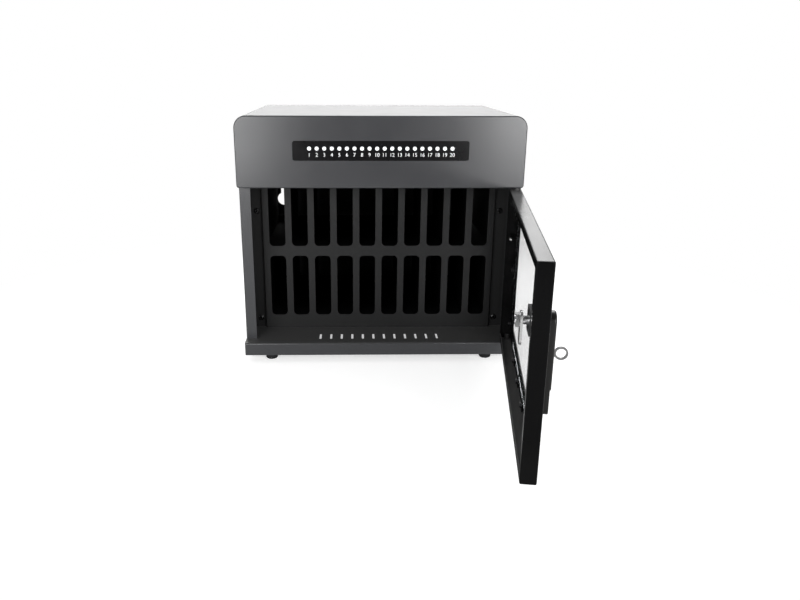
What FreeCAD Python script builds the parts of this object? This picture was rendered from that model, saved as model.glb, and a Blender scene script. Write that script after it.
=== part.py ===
import FreeCAD, Part
import operator
import os
from types import SimpleNamespace

import Sketcher

# Driving dimensions in millimetres and degrees
SIZES = [
    ("case_width", 378, "width of the case"),
    ("case_depth", 268, "depth of the case"),
    ("sheet_gauge", 1.2, "thickness of the folded sheet"),
    ("foot_height", 12, "height of a foot"),
    ("foot_radius", 9.4, "radius of a foot at its top"),
    ("foot_sole", 8.3, "radius of a foot near its sole"),
    ("foot_chamfer", 1, "chamfer of a foot's sole"),
    ("foot_band", 2, "straight band at a foot's top"),
    ("foot_inset_x", 35, "foot axis from the side of the case"),
    ("foot_inset_y", 22, "foot axis from the front and the back"),
    ("base_height", 18, "height of the base tray"),
    ("base_ledge", 58, "width of the tray's underside beside the opening"),
    ("head_height", 93, "height of the head"),
    ("head_top_round", 16, "radius of the head's upper corners"),
    ("head_low_round", 4, "radius of the head's lower corners"),
    ("edge_round", 2, "radius of folded edges"),
    ("step_back", 19.5, "side flanges behind the front plane"),
    ("flange_width", 15, "width of the side flanges"),
    ("rear_flange", 12, "width of the rear flanges"),
    ("vent_count", 12, "number of floor vents"),
    ("vent_pitch", 15.2, "pitch of the floor vents"),
    ("vent_width", 3, "width of a vent"),
    ("vent_length", 20, "length of a floor vent"),
    ("vent_setback", 17, "vents behind the front plane"),
    ("keyhole_inset", 35, "keyhole axis from the side of the case"),
    ("keyhole_drop", 61, "keyhole centre below the head"),
    ("keyhole_radius", 10.5, "radius that passes a screw head"),
    ("keyhole_neck", 4.5, "half width of the keyhole neck"),
    ("keyhole_rise", 24, "neck end above the keyhole centre"),
    ("rack_setback", 64, "slot plate behind the front plane"),
    ("rack_space", 32.8, "case behind the 170 mm deep compartments"),
    ("slot_columns", 10, "slots in a row"),
    ("rack_side", 28, "case beside the compartments"),
    ("slot_height", 90, "height of a slot"),
    ("slot_bar", 9.2, "bar between two slots that are 23 mm wide"),
    ("slot_round", 6, "corner radius of a slot"),
    ("slot_floor", 20, "lower slots above the floor"),
    ("row_gap", 14.5, "bar between the two rows"),
    ("slot_head", 3.5, "upper slots below the head"),
    ("plate_margin", 5, "plate beyond the outer half pitch"),
    ("plate_fold", 6, "depth of the plate's folded sides"),
    ("plate_gap", 0.4, "plate below the head"),
    ("plate_round", 1.5, "radius of the plate's folded edges"),
    ("ear_width", 15, "width of the plate's ears"),
    ("divider_gauge", 1, "thickness of a divider"),
    ("stop_height", 10, "rear stop lip of a shelf"),
    ("cheek_foot", 10, "foot flange of a rack cheek"),
    ("rail_depth", 16, "depth of the rack rails"),
    ("screw_radius", 2.5, "shank of an ear screw"),
    ("screw_head", 4.2, "head radius of an ear screw"),
    ("screw_flat", 2.5, "flat of an ear screw's crown"),
    ("screw_rim", 1, "rim height of an ear screw"),
    ("screw_crown", 2.3, "head height of an ear screw"),
    ("back_head", 3.7, "head radius of a back screw"),
    ("back_flat", 1.9, "flat of a back screw's crown"),
    ("back_rim", 0.6, "rim height of a back screw"),
    ("back_crown", 1.4, "head height of a back screw"),
    ("back_rows", 4, "back screws on each side"),
    ("back_margin", 14, "end back screws from the floor and the head"),
    ("ear_screw_inset", 15.6, "ear screw from the side of the case"),
    ("ear_screw_low", 13.5, "lower ear screw above the floor"),
    ("ear_screw_rise", 161, "upper ear screw above the lower one"),
    ("strip_width", 229, "width of the status strip"),
    ("strip_height", 25.4, "height of the status strip"),
    ("strip_low", 36, "status strip above the head's underside"),
    ("strip_round", 2.5, "corner radius of the status strip"),
    ("strip_gauge", 2, "thickness of the status strip"),
    ("strip_proud", 0.3, "status strip in front of the head"),
    ("led_count", 20, "number of status lights"),
    ("led_margin", 21.78, "outer lights from the strip's ends"),
    ("led_radius", 2.5, "radius of a status light"),
    ("led_rise", 15.6, "lights above the strip's lower edge"),
    ("led_length", 8, "length of a status light"),
    ("led_flat", 1.7, "flat of a light's crown"),
    ("led_crown", 0.5, "height of a light's crown"),
    ("board_gauge", 1.6, "thickness of the boards"),
    ("port_count", 20, "number of charging sockets"),
    ("port_width", 5.8, "socket shell across the row"),
    ("port_length", 13.2, "socket shell along the depth"),
    ("port_height", 13, "height of a socket shell"),
    ("port_wall", 0.5, "wall of a socket shell"),
    ("port_setback", 42, "socket row behind the front plane"),
    ("port_panel_margin", 4, "socket panel beyond the outer half pitch"),
    ("port_panel_depth", 21, "depth of the socket panel"),
    ("port_panel_lip", 4, "lip of the socket panel inside the head"),
    ("charger_depth", 60, "depth of the charger board"),
    ("supply_left", 31.5, "power supply from the left side of the case"),
    ("supply_right", 131.5, "power supply from the right side of the case"),
    ("supply_depth", 112, "depth of the power supply"),
    ("supply_height", 50, "height of the power supply"),
    ("supply_rear", 16, "power supply from the rear of the case"),
    ("supply_wall", 6, "wall of the power supply"),
    ("fan_size", 60, "side of the fan frame"),
    ("fan_depth", 20, "depth of the fan frame"),
    ("fan_bore", 28, "bore radius of the fan frame"),
    ("fan_hub", 12, "radius of the fan hub"),
    ("fan_tip", 25.8, "length of a fan blade from the axis"),
    ("fan_blades", 7, "number of fan blades"),
    ("fan_pin", 1.5, "radius of the fan pin"),
    ("fan_pin_length", 15, "length of the fan pin"),
    ("fan_plate", 2.5, "thickness of the fan's motor plate and struts"),
    ("fan_strut", 3, "width of a fan strut"),
    ("fan_strut_sink", 1, "strut inside the fan frame"),
    ("fan_cap", 2, "closed end of the fan hub"),
    ("fan_clearance", 1, "rotor from the motor plate"),
    ("fan_recess", 2, "rotor behind the frame's face"),
    ("blade_gauge", 1.4, "thickness of a fan blade"),
    ("blade_chord", 8.4, "half chord of a fan blade"),
    ("blade_root", 5, "blade inside the hub"),
    ("blade_edge", 0.5, "blade from the hub's ends"),
    ("fan_rear", 52, "fan axis from the rear of the case"),
    ("fan_rise", 45, "fan axis above the head's underside"),
    ("fan_slots", 8, "slots in front of the fan"),
    ("fan_slot_pitch", 6.6, "pitch of the fan slots"),
    ("fan_slot_width", 3.8, "width of a fan slot"),
    ("fan_slot_length", 48, "length of a fan slot"),
    ("inlet_rear", 46, "inlet from the rear of the case"),
    ("switch_rear", 86, "switch from the rear of the case"),
    ("mains_rise", 30, "inlet and switch above the head's underside"),
    ("inlet_width", 27.2, "inlet body along the depth"),
    ("inlet_height", 19.6, "inlet body height"),
    ("inlet_length", 16, "inlet body inside the wall"),
    ("inlet_wall", 1.8, "wall of the inlet body"),
    ("contact_gauge", 2, "thickness of an inlet contact"),
    ("contact_width", 4, "width of an inlet contact"),
    ("contact_pitch", 7, "outer contacts from the middle one"),
    ("contact_drop", 1.5, "outer contacts below the inlet's middle"),
    ("contact_rise", 2.5, "middle contact above the inlet's middle"),
    ("bezel_lip", 2, "lip of the inlet and switch outside the wall"),
    ("switch_width", 19.4, "switch body along the depth"),
    ("switch_height", 13, "switch body height"),
    ("switch_length", 14, "switch body inside the wall"),
    ("switch_wall", 0.9, "wall of the switch body"),
    ("switch_skin", 0.2, "axle ends inside the switch body"),
    ("axle_radius", 1.5, "radius of the rocker axle"),
    ("axle_depth", 1, "rocker axle behind the wall's outer face"),
    ("rocker_half", 7.4, "half length of the rocker"),
    ("rocker_width", 10.4, "width of the rocker"),
    ("rocker_play", 0.3, "rocker from the switch body"),
    ("rocker_rise", 4.8, "rocker ends outside the axle"),
    ("rocker_dish", 3.1, "rocker's middle outside the axle"),
    ("rocker_keel", 5.5, "rocker inside the axle"),
    ("rocker_keel_half", 2.2, "half width of the rocker's keel"),
    ("rocker_tilt", 9, "tilt of the rocker at rest"),
    ("door_gap", 2, "gap around the closed door"),
    ("door_thickness", 16, "depth of the door pan"),
    ("door_angle", 81.5, "opening of the door at rest"),
    ("door_return", 8, "inner return of the door pan"),
    ("hinge_return", 3.2, "inner return beside the hinge"),
    ("door_round", 1.6, "radius of the door's edges"),
    ("hinge_inset", 5.5, "hinge axis from the door's end"),
    ("hinge_depth", 6, "hinge axis behind the front plane"),
    ("hinge_radius", 2.5, "radius of a hinge pin"),
    ("hinge_reach", 7, "hinge pin inside the door"),
    ("collar_height", 2, "height of a hinge pin's collar"),
    ("collar_gap", 0.1, "collar from the head's lower corner"),
    ("bush_wall", 1, "wall of a hinge bush"),
    ("bush_flange", 5, "flange radius of a hinge bush"),
    ("bush_gap", 0.4, "running gap at a bush's flange"),
    ("bush_tail", 1, "bush beyond the hinge pin"),
    ("running_fit", 0.05, "radial clearance of turning fits"),
    ("hinge_stile", 33, "door face beside the hinge"),
    ("lock_stile", 52, "door face beside the lock"),
    ("door_rail", 27, "door face above and below the window"),
    ("window_round", 5, "corner radius of the window opening"),
    ("pane_lap", 7, "pane behind the door face"),
    ("pane_gauge", 2.5, "thickness of the window pane"),
    ("stud_offset", 12, "window studs outside the window opening"),
    ("stud_radius", 2, "radius of a window stud"),
    ("stud_length", 6, "length of a window stud"),
    ("stud_rise", 77, "outer stile studs from the door's middle"),
    ("stud_run", 62.5, "outer rail studs from the window's middle"),
    ("clip_radius", 8, "radius of a window clip"),
    ("clip_gauge", 1, "thickness of a window clip"),
    ("nut_radius", 3.2, "corner radius of a window nut"),
    ("nut_height", 2, "height of a window nut"),
    ("earth_inset", 14.5, "earth stud from the door's hinged end"),
    ("earth_z", 150, "earth stud above the floor"),
    ("earth_length", 11.5, "length of the earth stud"),
    ("earth_stem", 1.8, "radius of the earth stud's stem"),
    ("earth_base", 3.4, "radius of the earth stud's welded base"),
    ("earth_base_height", 1, "height of the earth stud's welded base"),
    ("earth_cap", 2.7, "radius of the earth stud's cap nut"),
    ("earth_cap_height", 3.4, "height of the earth stud's cap nut"),
    ("earth_bevel", 1, "bevel of the earth stud's cap nut"),
    ("earth_roof", 1.2, "thickness of the cap nut over the stud"),
    ("lock_backset", 29, "lock axis from the door's free edge"),
    ("lock_z", 153.5, "lock axis above the floor"),
    ("grip_width", 20, "width of the grip bar"),
    ("grip_proud", 8.2, "grip bar outside the door face"),
    ("grip_low", 64, "lower end of the grip bar above the floor"),
    ("grip_over", 9.6, "grip bar above the lock axis"),
    ("grip_step", 1.2, "depth of the step at the grip's lower end"),
    ("grip_step_high", 26, "height of the stepped lower end"),
    ("grip_low_round", 5, "corner radius at the grip's lower end"),
    ("grip_top_round", 9, "corner radius at the grip's upper end"),
    ("knob_radius", 7, "radius of the turn knob"),
    ("knob_depth", 4.5, "depth of the turn knob's head"),
    ("knob_bevel", 0.6, "bevel of the turn knob"),
    ("knob_web", 1.4, "half web and rim of the turn knob"),
    ("knob_hollow", 3.4, "half height of the knob's finger hollows"),
    ("knob_floor", 1.2, "floor under the knob's finger hollows"),
    ("spindle_radius", 4, "radius of the lock spindle"),
    ("spindle_play", 1, "spindle hole in the door face beyond the spindle"),
    ("spindle_tail", 1, "spindle beyond the cam nut"),
    ("housing_width", 24, "side of the lock housing"),
    ("cam_gap", 5.2, "cam behind the door's inner plane"),
    ("cam_gauge", 2.2, "thickness of the cam"),
    ("cam_half", 6.6, "half width of the cam"),
    ("cam_reach", 23, "cam tip from the lock axis"),
    ("cam_crown", 8.6, "cam above the lock axis"),
    ("cam_tip_round", 4.6, "corner radius of the cam's tip"),
    ("cam_top_round", 5.9, "corner radius of the cam's upper end"),
    ("cam_nut_height", 4, "height of the cam nut"),
    ("cam_nut_radius", 7, "corner radius of the cam nut"),
    ("key_drop", 30.5, "key below the lock axis"),
    ("plug_radius", 5, "radius of the lock plug"),
    ("plug_depth", 6, "depth of the lock plug's bore"),
    ("plug_floor", 1, "plug behind the key slot"),
    ("plug_seat", 0.2, "plug short of its bore's end"),
    ("key_play", 0.2, "key slot beyond the key's edges"),
    ("key_tip", 0.4, "key short of the slot's end"),
    ("key_gauge", 2, "thickness of the key"),
    ("key_blade", 7, "width of the key blade"),
    ("key_bow", 6.3, "outer radius of the key's ring bow"),
    ("key_eye", 4.6, "inner radius of the key's ring bow"),
    ("key_neck", 0.8, "key's ring bow from the grip bar"),
]


class Size:
    """A length together with the spreadsheet expression that drives it."""

    def __init__(self, value, text):
        self.value = value
        self.text = text

    def __add__(self, other):
        return combine(self, "+", other)

    def __radd__(self, other):
        return combine(other, "+", self)

    def __sub__(self, other):
        return combine(self, "-", other)

    def __rsub__(self, other):
        return combine(other, "-", self)

    def __mul__(self, other):
        return combine(self, "*", other)

    def __rmul__(self, other):
        return combine(other, "*", self)

    def __truediv__(self, other):
        return combine(self, "/", other)

    def __neg__(self):
        return combine(0, "-", self)


OPERATORS = {"+": operator.add, "-": operator.sub, "*": operator.mul, "/": operator.truediv}


def as_size(number):
    if isinstance(number, Size):
        return number
    return Size(float(number), repr(float(number)))


def combine(left, sign, right):
    left = as_size(left)
    right = as_size(right)
    value = OPERATORS[sign](left.value, right.value)
    return Size(value, f"({left.text} {sign} {right.text})")


doc = FreeCAD.newDocument("ChargingCabinet")
sheet = doc.addObject("Spreadsheet::Sheet", "Sizes")
named = {}
for row, (alias, number, note) in enumerate(SIZES, start=1):
    sheet.set(f"A{row}", note)
    sheet.set(f"B{row}", str(number))
    sheet.setAlias(f"B{row}", alias)
    named[alias] = Size(float(number), f"Sizes.{alias}")
doc.recompute()
d = SimpleNamespace(**named)

# Levels and planes shared by several pieces
half = d.case_width / 2
front = -d.case_depth / 2
rear = d.case_depth / 2
floor_z = d.foot_height + d.base_height
bay_height = d.slot_floor + 2 * d.slot_height + d.row_gap + d.slot_head
head_z = floor_z + bay_height
top_z = head_z + d.head_height
gauge = d.sheet_gauge
flange_y = front + d.step_back
rack_y = front + d.rack_setback
plate_back = rack_y + gauge
rack_end = rear - d.rack_space
cheek_x = half - d.rack_side
slot_pitch = 2 * cheek_x / d.slot_columns
slot_width = slot_pitch - d.slot_bar
plate_half = cheek_x + d.plate_margin
ear_screw_x = half - d.ear_screw_inset
keyhole_x = half - d.keyhole_inset
ear_y = rack_y + d.plate_fold
plate_top = head_z - d.plate_gap
lower_slot = floor_z + d.slot_floor
upper_slot = lower_slot + d.slot_height + d.row_gap
led_pitch = (d.strip_width - 2 * d.led_margin) / (d.led_count - 1)
port_y = front + d.port_setback
port_pitch = slot_pitch * d.slot_columns / d.port_count
port_panel_half = port_pitch * d.port_count / 2 + d.port_panel_margin
fan_y = rear - d.fan_rear
fan_z = head_z + d.fan_rise
inlet_y = rear - d.inlet_rear
switch_y = rear - d.switch_rear
mains_z = head_z + d.mains_rise

# Door levels, across and deep from the hinge axis
pivot_x = half - d.door_gap - d.hinge_inset
pivot_y = front + d.hinge_depth
collar_radius = d.door_gap + d.hinge_inset - d.head_low_round - d.collar_gap
door_low = floor_z + d.door_gap
door_high = head_z - d.door_gap
door_right = d.hinge_inset
door_left = door_right - (d.case_width - 2 * d.door_gap)
door_face = -d.hinge_depth
door_skin = door_face + gauge
door_inner = d.door_thickness - d.hinge_depth
window_right = door_right - d.hinge_stile
window_left = door_left + d.lock_stile
window_low = door_low + d.door_rail
window_high = door_high - d.door_rail
pane_back = door_skin + d.pane_gauge
lock_x = door_left + d.lock_backset
lock_z = floor_z + d.lock_z
key_z = lock_z - d.key_drop
grip_face = door_face - d.grip_proud
cam_y = door_inner + d.cam_gap

TURNS = {
    "X": FreeCAD.Rotation(FreeCAD.Vector(0, 1, 0), 90),
    "Y": FreeCAD.Rotation(FreeCAD.Vector(1, 0, 0), -90),
    "Z": FreeCAD.Rotation(),
}
AXES = {
    "X": FreeCAD.Vector(1, 0, 0),
    "Y": FreeCAD.Vector(0, 1, 0),
    "Z": FreeCAD.Vector(0, 0, 1),
}
OVERCUT = 1
nodes = []


def bind(item, name, size):
    item.setExpression(name, as_size(size).text)


def locate(item, x, y, z):
    for axis, size in zip("xyz", (x, y, z)):
        bind(item, f"Placement.Base.{axis}", size)


def keep(item, label):
    item.Label = label
    nodes.append(item)
    return item


def hang(item, label):
    """Keep a door piece, turned about the hinge axis to the open position."""
    locate(item, pivot_x, pivot_y, 0)
    bind(item, "Placement.Rotation.Angle", d.door_angle)
    return keep(item, label)


# Solid primitives and booleans


def block(x, y, z):
    """Box between low and high pairs on the three axes."""
    item = doc.addObject("Part::Box", "Block")
    for name, (low, high) in zip(("Length", "Width", "Height"), (x, y, z)):
        bind(item, name, high - low)
    locate(item, x[0], y[0], z[0])
    return item


def rod(radius, length, axis, x, y, z):
    """Cylinder that starts at a point and runs along an axis."""
    item = doc.addObject("Part::Cylinder", "Rod")
    bind(item, "Radius", radius)
    bind(item, "Height", length)
    item.Placement = FreeCAD.Placement(FreeCAD.Vector(), TURNS[axis])
    locate(item, x, y, z)
    return item


def hexagon(radius, length, axis, x, y, z):
    item = doc.addObject("Part::Prism", "Hexagon")
    item.Polygon = 6
    bind(item, "Circumradius", radius)
    bind(item, "Height", length)
    item.Placement = FreeCAD.Placement(FreeCAD.Vector(), TURNS[axis])
    locate(item, x, y, z)
    return item


def join(pieces):
    item = doc.addObject("Part::MultiFuse", "Join")
    item.Shapes = pieces
    item.Refine = True
    return item


def cut(base, tools):
    item = doc.addObject("Part::Cut", "Cut")
    item.Base = base
    item.Tool = tools[0] if len(tools) == 1 else join(tools)
    return item


def group(pieces):
    item = doc.addObject("Part::Compound", "Group")
    item.Links = pieces
    return item


def mirrored(source):
    item = doc.addObject("Part::Mirroring", "Mirrored")
    item.Source = source
    item.Normal = AXES["X"]
    return item


def along(edge, axis):
    if not isinstance(edge.Curve, (Part.Line, Part.LineSegment)):
        return False
    run = edge.Vertexes[-1].Point - edge.Vertexes[0].Point
    return abs(run.normalize().dot(AXES[axis])) > 0.999


def rounded(base, radius, wanted):
    doc.recompute()
    item = doc.addObject("Part::Fillet", "Rounded")
    item.Base = base
    item.Edges = [
        (index, radius.value, radius.value)
        for index, edge in enumerate(base.Shape.Edges, start=1)
        if wanted(edge)
    ]
    return item


# Sketches and features in a body


def new_body():
    return doc.addObject("PartDesign::Body", "Body")


def origin_feature(body, role):
    return next(item for item in body.Origin.OriginFeatures if item.Role == role)


def sketch(body, plane, across=0, up=0, level=0):
    """Sketch on an origin plane, shifted in its plane and to a level along its axis."""
    item = body.newObject("Sketcher::SketchObject", "Sketch")
    item.AttachmentSupport = [(origin_feature(body, f"{plane}_Plane"), "")]
    item.MapMode = "FlatFace"
    bind(item, "AttachmentOffset.Base.x", across)
    bind(item, "AttachmentOffset.Base.y", up)
    bind(item, "AttachmentOffset.Base.z", -as_size(level) if plane == "XZ" else level)
    return item


def drive(item, kind, where, size):
    index = item.addConstraint(Sketcher.Constraint(kind, *where, as_size(size).value))
    bind(item, f"Constraints[{index}]", size)


def point(size_x, size_y):
    return FreeCAD.Vector(as_size(size_x).value, as_size(size_y).value, 0)


def polygon(item, corners):
    """Closed outline with every corner held by the sizes."""
    count = len(corners)
    first = item.GeometryCount
    for index, corner in enumerate(corners):
        following = corners[(index + 1) % count]
        item.addGeometry(Part.LineSegment(point(*corner), point(*following)), False)
    for index, (x, y) in enumerate(corners):
        line = first + index
        after = first + (index + 1) % count
        item.addConstraint(Sketcher.Constraint("Coincident", line, 2, after, 1))
        drive(item, "DistanceX", (-1, 1, line, 1), x)
        drive(item, "DistanceY", (-1, 1, line, 1), y)
    return item


def rectangle(item, x, y):
    return polygon(item, [(x[0], y[0]), (x[1], y[0]), (x[1], y[1]), (x[0], y[1])])


def rounded_rectangle(item, x, y, low_radius, high_radius):
    """Rectangle with one radius at its lower and one at its upper corners."""
    radii = [low_radius, low_radius, high_radius, high_radius]
    corners = [(x[0], y[0]), (x[1], y[0]), (x[1], y[1]), (x[0], y[1])]
    inward = [(1, 1), (-1, 1), (-1, -1), (1, -1)]
    middles = [
        point(cx + sx * radius, cy + sy * radius)
        for (cx, cy), (sx, sy), radius in zip(corners, inward, radii)
    ]
    quarter = 1.5707963267948966
    for index, (middle, radius) in enumerate(zip(middles, radii)):
        circle = Part.Circle(middle, AXES["Z"], radius.value)
        start = (index + 2) * quarter
        item.addGeometry(Part.ArcOfCircle(circle, start, start + quarter), False)
    for index in range(4):
        start = item.getPoint(index, 2)
        end = item.getPoint((index + 1) % 4, 1)
        item.addGeometry(Part.LineSegment(start, end), False)
    for index in range(4):
        line = 4 + index
        item.addConstraint(Sketcher.Constraint("Tangent", index, 2, line, 1))
        item.addConstraint(Sketcher.Constraint("Tangent", line, 2, (index + 1) % 4, 1))
        item.addConstraint(Sketcher.Constraint(("Horizontal", "Vertical")[index % 2], line))
        drive(item, "Radius", (index,), radii[index])
    drive(item, "DistanceY", (-1, 1, 4, 1), y[0])
    drive(item, "DistanceX", (-1, 1, 5, 1), x[1])
    drive(item, "DistanceY", (-1, 1, 6, 1), y[1])
    drive(item, "DistanceX", (-1, 1, 7, 1), x[0])
    return item


def circle(item, x, y, radius):
    item.addGeometry(Part.Circle(point(x, y), AXES["Z"], as_size(radius).value), False)
    drive(item, "DistanceX", (-1, 1, 0, 3), x)
    drive(item, "DistanceY", (-1, 1, 0, 3), y)
    drive(item, "Radius", (0,), radius)
    return item


def extrude(body, kind, profile, length, backward=False):
    item = body.newObject(f"PartDesign::{kind}", kind)
    item.Profile = profile
    bind(item, "Length", length)
    item.Reversed = backward
    profile.Visibility = False
    return item


def pad(body, profile, length, backward=False):
    return extrude(body, "Pad", profile, length, backward)


def pocket(body, profile, length, backward=False):
    return extrude(body, "Pocket", profile, length, backward)


def revolve(body, profile, axis="V_Axis"):
    item = body.newObject("PartDesign::Revolution", "Revolution")
    item.Profile = profile
    item.ReferenceAxis = (profile, [axis])
    item.Angle = 360
    return item


def pattern(body, feature, axis, pitch, count, second=None):
    """Rows of a feature; second holds the axis, pitch and count of a cross row."""
    item = body.newObject("PartDesign::LinearPattern", "Pattern")
    item.Originals = [feature]
    item.Direction = (origin_feature(body, f"{axis}_Axis"), [""])
    bind(item, "Length", pitch * (count - 1))
    bind(item, "Occurrences", count)
    if second:
        item.Direction2 = (origin_feature(body, f"{second[0]}_Axis"), [""])
        bind(item, "Length2", second[1] * (as_size(second[2]) - 1))
        bind(item, "Occurrences2", second[2])
    body.Tip = item
    return item


def soften(body, feature, radius, wanted):
    doc.recompute()
    edges = [
        f"Edge{index}"
        for index, edge in enumerate(feature.Shape.Edges, start=1)
        if wanted(edge)
    ]
    item = body.newObject("PartDesign::Fillet", "Fillet")
    item.Base = (feature, edges)
    bind(item, "Radius", radius)
    body.Tip = item
    return item


def lies_at(edge, axis, level):
    box = edge.BoundBox
    low = getattr(box, f"{axis}Min")
    high = getattr(box, f"{axis}Max")
    return abs(low - level.value) < 0.001 and abs(high - level.value) < 0.001


def turned(x, y, z, outline, plane="XZ", axis="V_Axis"):
    """Body of revolution about an axis through a point."""
    body = new_body()
    offsets = {"XZ": (x, z, y), "XY": (x, y, z), "YZ": (y, z, x)}
    profile = sketch(body, plane, *offsets[plane])
    polygon(profile, outline)
    revolve(body, profile, axis)
    return body


# Case


def base_tray():
    shell = block((-half, half), (front, rear), (d.foot_height, floor_z))
    shell = rounded(
        shell,
        d.edge_round,
        lambda edge: along(edge, "Z")
        or lies_at(edge, "Y", front) and lies_at(edge, "Z", floor_z),
    )
    inside = block(
        (-half + gauge, half - gauge),
        (front + gauge, rear - gauge),
        (d.foot_height + gauge, floor_z - gauge),
    )
    opening = block(
        (-half + d.base_ledge, half - d.base_ledge),
        (front + d.edge_round + gauge, rear - d.edge_round - gauge),
        (d.foot_height - gauge, d.foot_height + 2 * gauge),
    )
    vents = []
    for index in range(int(d.vent_count.value)):
        middle = (index - (d.vent_count - 1) / 2) * d.vent_pitch
        vents.append(
            block(
                (middle - d.vent_width / 2, middle + d.vent_width / 2),
                (front + d.vent_setback, front + d.vent_setback + d.vent_length),
                (floor_z - 2 * gauge, floor_z + gauge),
            )
        )
    pin_hole = rod(
        d.hinge_radius + d.running_fit, 3 * gauge, "Z", pivot_x, pivot_y, floor_z - 2 * gauge
    )
    keep(cut(shell, [inside, opening, pin_hole] + vents), "base_tray")


def feet():
    body = turned(
        -half + d.foot_inset_x,
        front + d.foot_inset_y,
        0,
        [
            (0, 0),
            (d.foot_sole - d.foot_chamfer, 0),
            (d.foot_sole, d.foot_chamfer),
            (d.foot_radius, d.foot_height - d.foot_band),
            (d.foot_radius, d.foot_height),
            (0, d.foot_height),
        ],
    )
    run_x = d.case_width - 2 * d.foot_inset_x
    run_y = d.case_depth - 2 * d.foot_inset_y
    pattern(body, body.Tip, "X", run_x, as_size(2), ("Y", run_y, 2))
    keep(body, "feet")


def right_side():
    body = new_body()
    edge_y = rear - gauge
    outline = polygon(
        sketch(body, "XY", level=floor_z),
        [
            (half, flange_y),
            (half, edge_y),
            (half - d.rear_flange, edge_y),
            (half - d.rear_flange, edge_y - gauge),
            (half - gauge, edge_y - gauge),
            (half - gauge, flange_y + gauge),
            (half - d.flange_width, flange_y + gauge),
            (half - d.flange_width, flange_y),
        ],
    )
    wall = pad(body, outline, bay_height)
    soften(
        body,
        wall,
        d.edge_round,
        lambda edge: along(edge, "Z") and lies_at(edge, "X", half),
    )
    return body


def side_walls():
    right = right_side()
    keep(mirrored(right), "left_side")
    keep(right, "right_side")


def back_panel():
    body = new_body()
    sheet_outline = rectangle(sketch(body, "XZ", level=rear), (-half, half), (floor_z, head_z))
    pad(body, sheet_outline, gauge)
    hole_z = head_z - d.keyhole_drop
    eye = pocket(
        body,
        circle(sketch(body, "XZ", level=rear), -keyhole_x, hole_z, d.keyhole_radius),
        gauge,
        True,
    )
    pattern(body, eye, "X", 2 * keyhole_x, as_size(2))
    neck = pocket(
        body,
        rectangle(
            sketch(body, "XZ", level=rear),
            (-keyhole_x - d.keyhole_neck, -keyhole_x + d.keyhole_neck),
            (hole_z, hole_z + d.keyhole_rise),
        ),
        gauge,
        True,
    )
    pattern(body, neck, "X", 2 * keyhole_x, as_size(2))
    neck_end = circle(
        sketch(body, "XZ", level=rear), -keyhole_x, hole_z + d.keyhole_rise, d.keyhole_neck
    )
    pattern(body, pocket(body, neck_end, gauge, True), "X", 2 * keyhole_x, as_size(2))
    keep(body, "back_panel")


# Head


def head_cover():
    body = new_body()
    outline = rounded_rectangle(
        sketch(body, "XZ", level=front),
        (-half, half),
        (head_z, top_z),
        d.head_low_round,
        d.head_top_round,
    )
    shell = pad(body, outline, d.case_depth, True)
    soften(body, shell, d.edge_round, lambda edge: lies_at(edge, "Y", front))
    inside = rounded_rectangle(
        sketch(body, "XZ", level=rear),
        (-half + gauge, half - gauge),
        (head_z + gauge, top_z - gauge),
        d.head_low_round - gauge,
        d.head_top_round - gauge,
    )
    pocket(body, inside, d.case_depth - gauge, True)
    strip_z = head_z + d.strip_low
    strip = rounded_rectangle(
        sketch(body, "XZ", level=front),
        (-d.strip_width / 2, d.strip_width / 2),
        (strip_z, strip_z + d.strip_height),
        d.strip_round,
        d.strip_round,
    )
    pocket(body, strip, 2 * gauge)
    sockets = rectangle(
        sketch(body, "XY", level=head_z + gauge),
        (-port_panel_half, port_panel_half),
        (port_y - d.port_panel_depth / 2, port_y + d.port_panel_depth / 2),
    )
    pocket(body, sockets, gauge)
    pin = circle(sketch(body, "XY", level=head_z + gauge), pivot_x, pivot_y, d.hinge_radius + d.running_fit)
    pocket(body, pin, gauge)
    first_slot = fan_y - (d.fan_slots - 1) * d.fan_slot_pitch / 2
    slot = rectangle(
        sketch(body, "YZ", level=half),
        (first_slot - d.fan_slot_width / 2, first_slot + d.fan_slot_width / 2),
        (fan_z - d.fan_slot_length / 2, fan_z + d.fan_slot_length / 2),
    )
    pattern(body, pocket(body, slot, gauge), "Y", d.fan_slot_pitch, d.fan_slots)
    for middle, width, height in (
        (inlet_y, d.inlet_width, d.inlet_height),
        (switch_y, d.switch_width, d.switch_height),
    ):
        hole = rectangle(
            sketch(body, "YZ", level=-half),
            (middle - width / 2, middle + width / 2),
            (mains_z - height / 2, mains_z + height / 2),
        )
        pocket(body, hole, gauge, True)
    keep(body, "head_cover")


def head_back():
    body = new_body()
    edge = gauge + d.running_fit
    outline = rounded_rectangle(
        sketch(body, "XZ", level=rear),
        (-half + edge, half - edge),
        (head_z + edge, top_z - edge),
        d.head_low_round - edge,
        d.head_top_round - edge,
    )
    pad(body, outline, gauge)
    keep(body, "head_back")


def status_strip():
    body = new_body()
    low = head_z + d.strip_low
    play = d.running_fit
    outline = rounded_rectangle(
        sketch(body, "XZ", level=front - d.strip_proud),
        (-d.strip_width / 2 + play, d.strip_width / 2 - play),
        (low + play, low + d.strip_height - play),
        d.strip_round,
        d.strip_round,
    )
    pad(body, outline, d.strip_gauge, True)
    start = -(d.led_count - 1) * led_pitch / 2
    hole = circle(
        sketch(body, "XZ", level=front - d.strip_proud),
        start,
        low + d.led_rise,
        d.led_radius + d.running_fit,
    )
    pattern(body, pocket(body, hole, d.strip_gauge), "X", led_pitch, d.led_count)
    keep(body, "status_strip")


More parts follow.
